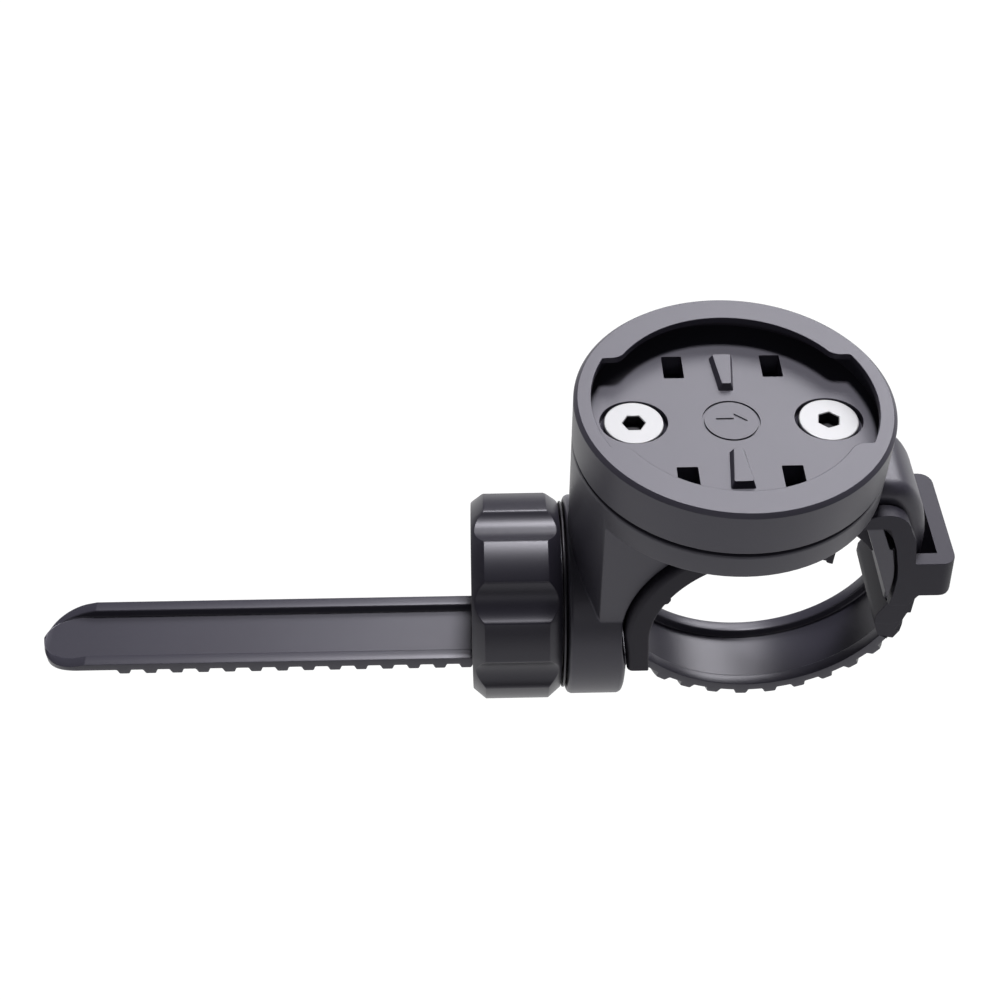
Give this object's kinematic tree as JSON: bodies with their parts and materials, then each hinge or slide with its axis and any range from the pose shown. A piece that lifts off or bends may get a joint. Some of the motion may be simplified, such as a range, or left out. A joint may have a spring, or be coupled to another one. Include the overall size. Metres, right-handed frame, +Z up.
{
  "type": "bike computer mount",
  "caption": "Handlebar mount for a bicycle computer: round quarter-turn cup on a bracket, with a toothed strap that wraps the bar and a fluted tightening knob.",
  "frame": {"origin": "centre of the handlebar that the mount grips, midway along the saddle", "axes": "+X from the knob and strap tail towards the hooked arm, +Y along the handlebar, +Z up out of the cup"},
  "size_m": [0.1262, 0.04, 0.0547],
  "materials": {
    "cup_plastic": "satin graphite grey",
    "bracket_plastic": "satin graphite grey",
    "knob_plastic": "satin graphite grey",
    "strap_plastic": "satin graphite grey, a little glossier",
    "liner_rubber": "matt",
    "washer_plastic": "satin",
    "screw_steel": "satin",
    "insert_brass": "turned"
  },
  "bodies": {
    "mount": {"receiver_cup": "cup_plastic", "base_bracket": "bracket_plastic", "cup_screw_left": "screw_steel", "cup_screw_right": "screw_steel", "threaded_insert_left": "insert_brass", "threaded_insert_right": "insert_brass", "thrust_washer": "washer_plastic", "core_cap": "washer_plastic", "cap_screw": "screw_steel", "toothed_strap": "strap_plastic", "saddle_liner": "liner_rubber"},
    "knob": {"adjuster_knob": "knob_plastic"}
  },
  "joints": [
    {"name": "knob_turn", "type": "hinge", "parent": "mount", "child": "knob", "pos_m": [-0.0274, 0, -0.0055], "axis": [1, 0, 0], "continuous": true}
  ]
}
